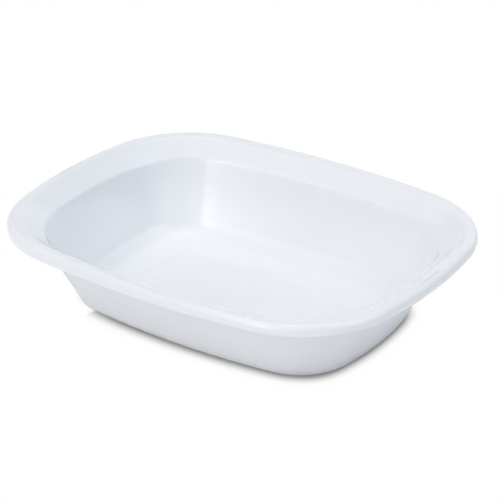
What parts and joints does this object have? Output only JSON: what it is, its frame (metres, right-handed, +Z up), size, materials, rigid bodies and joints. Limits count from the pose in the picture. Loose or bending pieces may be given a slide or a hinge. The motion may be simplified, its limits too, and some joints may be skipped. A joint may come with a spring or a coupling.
{
  "type": "bedpan",
  "caption": "Open bedpan moulded in one piece: rounded rectangular bowl with sloping walls, a wide dished seat flange and a rolled rim with a short skirt.",
  "frame": {"origin": "centre of the footprint, on the plane the pan stands on", "axes": "+X along the length of the pan, +Y across it, +Z up out of the bowl"},
  "size_m": [0.38, 0.3, 0.0773],
  "materials": {
    "shell": "glossy white polypropylene with a faint cool tint, fine moulded micro-texture, light scuffs on the rim and foot"
  },
  "bodies": {
    "root": {"pan_shell": "shell"}
  },
  "joints": []
}
